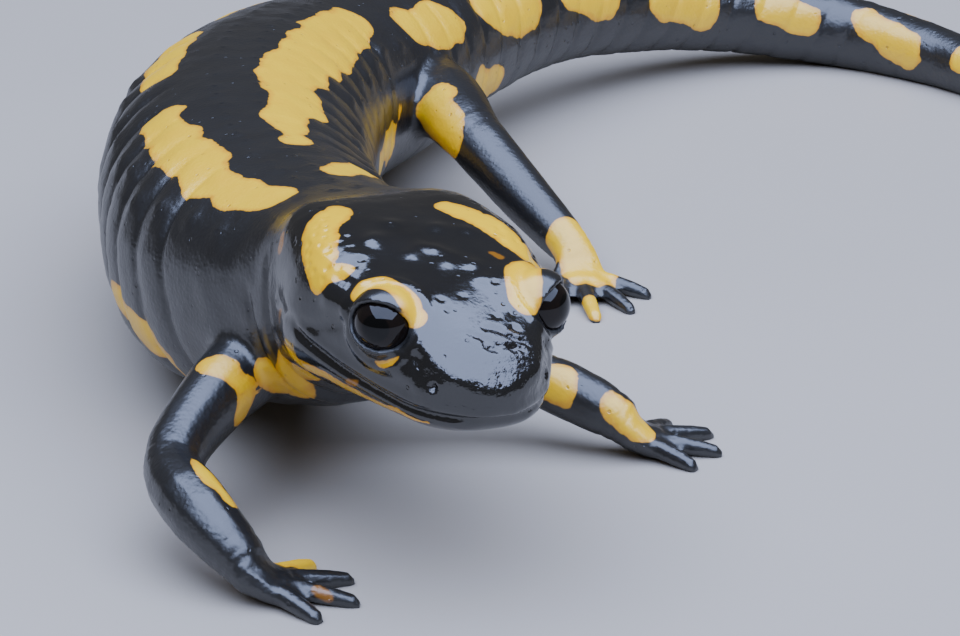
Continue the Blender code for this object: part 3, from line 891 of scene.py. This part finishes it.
def write_regions(skin):
    """Weights for the material: the smooth wet head, the wrinkled front of the snout, the lids."""
    points = get_points(skin)
    place, _ = SPINE.locate(points)
    local = to_head(points)
    write_value(skin, "head", head_share(points, place, 18.0, 23.0))
    front = (1 - ease(local[:, 1], -4.5, -2.0)) * ease(local[:, 2], -4.0, -3.0)
    from_spot = np.linalg.norm(local - WRINKLED_SPOT, axis=1)
    write_value(skin, "snout", np.maximum(front, 1.8 * bump(from_spot, 1.3)))
    for name, (start, end) in EYE_REGIONS.items():
        write_value(skin, name, 1 - ease(eye_distance(points), start, end))


# ---- Materials ----


class Tone:
    """A socket of a material. Sums and products of tones add the Math nodes that work them out."""

    def __init__(self, paints, socket):
        self.paints, self.socket = paints, socket

    def _math(self, operation, a, b):
        return self.paints.node("ShaderNodeMath", {"operation": operation}, {0: a, 1: b})

    def __add__(self, other):
        return self._math("ADD", self, other)

    def __sub__(self, other):
        return self._math("SUBTRACT", self, other)

    def __rsub__(self, other):
        return self._math("SUBTRACT", other, self)

    def __mul__(self, other):
        return self._math("MULTIPLY", self, other)

    __radd__, __rmul__ = __add__, __mul__


class Paints:
    """The nodes of one material."""

    def __init__(self, name, roughness, ior=1.5):
        self.material = bpy.data.materials.new(name)
        self.material.use_nodes = True
        self.tree = self.material.node_tree
        self.shader = self.tree.nodes["Principled BSDF"]
        self.shader.inputs["Roughness"].default_value = roughness
        self.shader.inputs["IOR"].default_value = ior

    def node(self, kind, settings=None, inputs=None, output=0):
        """Adds a node: its settings first, then the value or the tone of each named input."""
        made = self.tree.nodes.new(kind)
        for name, value in (settings or {}).items():
            setattr(made, name, value)
        for name, value in (inputs or {}).items():
            self.join(value, made.inputs[name])
        return Tone(self, made.outputs[output])

    def join(self, value, socket):
        if isinstance(value, Tone):
            self.tree.links.new(value.socket, socket)
        else:
            socket.default_value = value

    def feed(self, name, value):
        self.join(value, self.shader.inputs[name])

    def value(self, name):
        """A value written on the mesh's points."""
        return self.node("ShaderNodeAttribute", {"attribute_name": name}, output="Fac")

    def place(self):
        """Object coordinates in millimetres."""
        at = self.node("ShaderNodeTexCoord", output="Object")
        return self.node("ShaderNodeVectorMath", {"operation": "SCALE"}, {0: at, "Scale": 1 / MM})

    def cloud(self, at, size, detail=2.0):
        """Noise with features about the size across, from 0 to 1."""
        return self.node("ShaderNodeTexNoise", None,
                         {"Vector": at, "Scale": 1 / size, "Detail": detail}, "Fac")

    def cells(self, at, size, feature="F1"):
        """The distance from the middle of the nearest of cells about the size across."""
        return self.node("ShaderNodeTexVoronoi", {"feature": feature},
                         {"Vector": at, "Scale": 1 / size}, "Distance")

    def step(self, value, low, high):
        """Runs smoothly from 0 at low to 1 at high."""
        return self.node("ShaderNodeMapRange", {"interpolation_type": "SMOOTHSTEP"},
                         {"Value": value, "From Min": low, "From Max": high})

    def blend(self, share, a, b):
        """The first colour where the share is 0, the second where it is 1."""
        a, b = [c if isinstance(c, Tone) else (*c, 1.0) for c in (a, b)]
        return self.node("ShaderNodeMix", {"data_type": "RGBA"}, {0: share, 6: a, 7: b}, 2)

    def relief(self, height):
        """Bumps of a height in millimetres."""
        normal = self.node("ShaderNodeBump", None,
                           {"Distance": MM, "Height": height}, "Normal")
        self.feed("Normal", normal)


# The sizes of the clouds and cells that cover the skin.
COARSE, MIDDLE, FINE = 1.6, 0.55, 0.16
LOBES, GOLD_CLOUDS, SLATE_CLOUDS, WRINKLES = 3.6, 2.4, 3.1, 0.42
PORE_CELLS, GRAIN_CELLS = 0.9, 0.3
# Between which distances from its edge a mark, its rim and a fleck come in.
MARK_EDGE, RIM_EDGE, FLECK_EDGE = (-0.05, 0.07), (-0.55, 0.0), (-0.1, 0.12)
PORE_EDGE, PORE_PATCHES = (0.1, 0.2), (0.5, 0.6)


def skin_finish(looks):
    """Wet black skin with yellow marks, orange at their rims and dotted with dark pores."""
    paints = Paints("wet_skin", roughness=0.2, ior=looks.skin_ior)
    at = paints.place()
    coarse, middle, fine = (paints.cloud(at, size) for size in (COARSE, MIDDLE, FINE))
    head, snout = paints.value("head"), paints.value("snout")
    # The clouds shift the edges of the marks, less so on the head and next to the eyes.
    shift = (paints.cloud(at, LOBES, detail=0.7) - 0.5) * (2.6 - head * 2.2)
    shift = shift + (coarse - 0.5) * 0.6 + (middle - 0.5) * 0.18
    edge = paints.value("yellow") + shift * (1 - paints.value("near_eye") * 0.8)
    marked, rim = 1 - paints.step(edge, *MARK_EDGE), paints.step(edge, *RIM_EDGE)
    pore = 1 - paints.step(paints.cells(at, PORE_CELLS), *PORE_EDGE)
    pore = pore * paints.step(coarse, *PORE_PATCHES)
    yellow = paints.blend(paints.cloud(at, GOLD_CLOUDS) * 0.7, looks.yellow, looks.gold)
    yellow = paints.blend(rim * middle * 0.8 + rim * rim * 0.2, yellow, looks.orange)
    yellow = paints.blend(pore * 0.55, yellow, looks.pore)
    black = paints.blend(paints.cloud(at, SLATE_CLOUDS), looks.black, looks.slate)
    fleck = 1 - paints.step(paints.value("fleck") + (middle - 0.5) * 0.3, *FLECK_EDGE)
    black = paints.blend(fleck * 0.35, black, looks.orange)
    paints.feed("Base Color", paints.blend(marked, black, yellow))
    # The head is the wettest, but for the lids and their edges.
    gloss = 0.29 - head * 0.19 + coarse * 0.06 + marked * 0.05
    gloss = gloss + paints.value("lid") * 0.12 + paints.value("lid_edge") * 0.35
    paints.feed("Roughness", gloss)
    # The finest relief, flatter on the head and creased at the front of the snout.
    grain = paints.cells(at, GRAIN_CELLS, "SMOOTH_F1")
    wrinkles = paints.cloud(at, WRINKLES, detail=3.0)
    height = grain * (0.021 - head * 0.015) + fine * 0.005 + middle * (0.018 - head * 0.006)
    height = height + snout * wrinkles * 0.06 - pore * 0.04
    paints.relief(height)
    return paints.material


PUPIL_EDGE = (24.0, 28.0)  # degrees from the pupil's middle
PUPIL_COLOUR = (0.002, 0.002, 0.002)


def eye_finish(looks):
    """A dark brown iris, barely lighter than its pupil, under a clear wet surface."""
    paints = Paints("dark_eye", roughness=0.03, ior=1.38)
    flecks = paints.cloud(paints.place(), size=0.25, detail=3.0)
    iris = paints.blend(flecks, looks.iris_dark, looks.iris_light)
    inside = 1 - paints.step(paints.value("from_pupil"), *PUPIL_EDGE)
    paints.feed("Base Color", paints.blend(inside, iris, PUPIL_COLOUR))
    return paints.material


class LooksSettings(bpy.types.PropertyGroup):
    yellow: FloatVectorProperty(
        name="Yellow", description="The middle of a mark",
        default=(0.86, 0.51, 0.0), subtype="COLOR", min=0, max=1)
    gold: FloatVectorProperty(
        name="Gold", description="The deeper yellow that clouds it",
        default=(0.78, 0.38, 0.0), subtype="COLOR", min=0, max=1)
    orange: FloatVectorProperty(
        name="Orange", description="The rim of a mark, and the small flecks",
        default=(0.62, 0.22, 0.0), subtype="COLOR", min=0, max=1)
    pore: FloatVectorProperty(
        name="Pore", description="The dots in the marks",
        default=(0.30, 0.13, 0.01), subtype="COLOR", min=0, max=1)
    black: FloatVectorProperty(
        name="Black", description="The ground colour of the skin",
        default=(0.006, 0.0055, 0.005), subtype="COLOR", min=0, max=1)
    slate: FloatVectorProperty(
        name="Slate", description="The paler black that clouds it",
        default=(0.011, 0.0105, 0.010), subtype="COLOR", min=0, max=1)
    skin_ior: FloatProperty(
        name="Skin gloss", description="Index of refraction of the wet skin", default=1.75)
    iris_dark: FloatVectorProperty(
        name="Iris", description="The iris's dark brown",
        default=(0.004, 0.003, 0.003), subtype="COLOR", min=0, max=1)
    iris_light: FloatVectorProperty(
        name="Iris fleck", description="The iris's paler flecks",
        default=(0.010, 0.006, 0.004), subtype="COLOR", min=0, max=1)


# ---- The pieces ----


class SALAMANDER_OT_skin(bpy.types.Operator):
    """Makes the one skin over all the flesh, with its folds, pores and markings"""

    bl_idname = "salamander.skin"
    bl_label = "Skin"

    def execute(self, context):
        shape, looks = context.scene.salamander_shape, context.scene.salamander_looks
        skin = make_skin_base(shape)
        settle_on_solids(skin)
        carve(skin)
        thin_out(skin, shape)
        pick(skin)
        bpy.ops.object.shade_smooth()
        paint_marks(skin)
        write_regions(skin)
        skin.data.materials.append(skin_finish(looks))
        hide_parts(*FLESH)
        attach(skin, "root")
        return {"FINISHED"}


CORNEA_BULGE = 0.035  # as a share of the radius
CORNEA_EDGE = (20, 60)  # degrees from its middle between which the bulge fades out


class SALAMANDER_OT_eyes(bpy.types.Operator):
    """Makes the two eyeballs, each turned towards the opening of its lids"""

    bl_idname = "salamander.eyes"
    bl_label = "Eyes"

    def execute(self, context):
        shape, looks = context.scene.salamander_shape, context.scene.salamander_looks
        material = eye_finish(looks)
        for word in SIDES:
            deselect()
            bpy.ops.mesh.primitive_uv_sphere_add(
                segments=64, ring_count=40, radius=EYE_RADIUS * MM, location=(0, 0, 0))
            ball = bare(active(), f"eyeball_{word}")
            outward = np.array([v.co.normalized().z for v in ball.data.vertices])
            angles = np.degrees(np.arccos(np.clip(outward, -1, 1)))
            write_value(ball, "from_pupil", angles)
            for corner, angle in zip(ball.data.vertices, angles):
                corner.co *= 1 + CORNEA_BULGE * (1 - ease(angle, *CORNEA_EDGE))
            ball.data.transform(lid_frame(word, shape))
            pick(ball)
            bpy.ops.object.shade_smooth()
            ball.data.materials.append(material)
            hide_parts(f"eye_{word}")
            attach(ball, "root")
        return {"FINISHED"}


# ---- The stage ----


class StageSettings(bpy.types.PropertyGroup):
    distance: FloatProperty(
        name="Camera distance", description="From the camera to the point it looks at",
        default=0.258, unit="LENGTH")
    elevation: FloatProperty(
        name="Camera elevation", description="The camera's height above the horizon",
        default=radians(21), subtype="ANGLE")
    lens: FloatProperty(name="Lens", description="Focal length, in millimetres", default=150.0)
    sky_power: FloatProperty(
        name="Sky power", description="Power of the broad light overhead", default=31.0, unit="POWER")
    fill: FloatProperty(name="Fill", description="Strength of the light all round", default=0.13)


CAMERA_TARGET = Vector((1.0, 0.0, 19.0))
SKY_PLACE, SKY_TARGET = Vector((110.0, -235.0, 600.0)), Vector((110.0, -235.0, 0.0))
SKY_SIZE = (1270.0, 1160.0)
SKY_COLOUR = (0.52, 0.64, 1.0)
ROOM_COLOUR = (1.0, 0.95, 0.88, 1.0)
FLOOR_SIZE = 4.0  # in metres
FLOOR_COLOURS = (0.37, 0.325, 0.265), (0.40, 0.35, 0.285)


def add_floor():
    """The pale floor, faintly clouded."""
    deselect()
    bpy.ops.mesh.primitive_plane_add(size=FLOOR_SIZE)
    floor = active()
    floor.name = "studio_floor"
    paints = Paints("pale_floor", roughness=0.6)
    clouds = paints.cloud(paints.place(), size=40.0)
    paints.feed("Base Color", paints.blend(clouds, *FLOOR_COLOURS))
    floor.data.materials.append(paints.material)


def add_sky(stage):
    """The broad light overhead."""
    data = bpy.data.lights.new("sky", "AREA")
    data.shape = "RECTANGLE"
    data.size, data.size_y = SKY_SIZE[0] * MM, SKY_SIZE[1] * MM
    data.energy = stage.sky_power
    data.color = SKY_COLOUR
    lamp = bpy.data.objects.new("sky", data)
    lamp.location = (SKY_PLACE + SHIFT) * MM
    lamp.rotation_euler = (SKY_PLACE - SKY_TARGET).to_track_quat("Z", "Y").to_euler()
    lamp.visible_camera = False
    bpy.context.scene.collection.objects.link(lamp)


def add_room(stage):
    """The faint light from all round."""
    world = bpy.data.worlds.new("room")
    world.use_nodes = True
    background = world.node_tree.nodes["Background"]
    background.inputs["Color"].default_value = ROOM_COLOUR
    background.inputs["Strength"].default_value = stage.fill
    bpy.context.scene.world = world


def add_camera(stage):
    """A long lens in front of the head, looking down at it."""
    data = bpy.data.cameras.new("camera")
    data.lens = stage.lens
    data.sensor_width = 36.0
    data.clip_start = 0.01
    camera = bpy.data.objects.new("camera", data)
    away = Vector((0, -cos(stage.elevation), sin(stage.elevation)))
    camera.location = (CAMERA_TARGET + SHIFT) * MM + away * stage.distance
    camera.rotation_euler = away.to_track_quat("Z", "Y").to_euler()
    bpy.context.scene.collection.objects.link(camera)
    bpy.context.scene.camera = camera


class SALAMANDER_OT_stage(bpy.types.Operator):
    """Sets the pale floor, the soft studio light and the camera"""

    bl_idname = "salamander.stage"
    bl_label = "Stage"

    def execute(self, context):
        stage = context.scene.salamander_stage
        add_floor()
        add_sky(stage)
        add_room(stage)
        add_camera(stage)
        return {"FINISHED"}


class SALAMANDER_PT_panel(bpy.types.Panel):
    bl_label = "Fire Salamander"
    bl_idname = "SALAMANDER_PT_panel"
    bl_space_type = "VIEW_3D"
    bl_region_type = "UI"
    bl_category = "Salamander"

    def draw(self, context):
        for name in SETTINGS:
            settings = getattr(context.scene, name)
            for key in settings.bl_rna.properties.keys():
                if key not in ("name", "rna_type"):
                    self.layout.prop(settings, key)
        for operator in PIECES:
            self.layout.operator(operator)


PIECES = ("salamander.skin", "salamander.eyes", "salamander.stage")
SETTINGS = {
    "salamander_shape": ShapeSettings,
    "salamander_looks": LooksSettings,
    "salamander_stage": StageSettings,
}
CLASSES = (*SETTINGS.values(), SALAMANDER_OT_skin, SALAMANDER_OT_eyes, SALAMANDER_OT_stage,
           SALAMANDER_PT_panel)


def register():
    for item in CLASSES:
        bpy.utils.register_class(item)
    for name, kind in SETTINGS.items():
        setattr(bpy.types.Scene, name, PointerProperty(type=kind))


def unregister():
    for name in SETTINGS:
        delattr(bpy.types.Scene, name)
    for item in reversed(CLASSES):
        bpy.utils.unregister_class(item)


def main():
    register()
    bpy.ops.salamander.skin()
    bpy.ops.salamander.eyes()
    bpy.ops.salamander.stage()


if __name__ == "__main__":
    main()
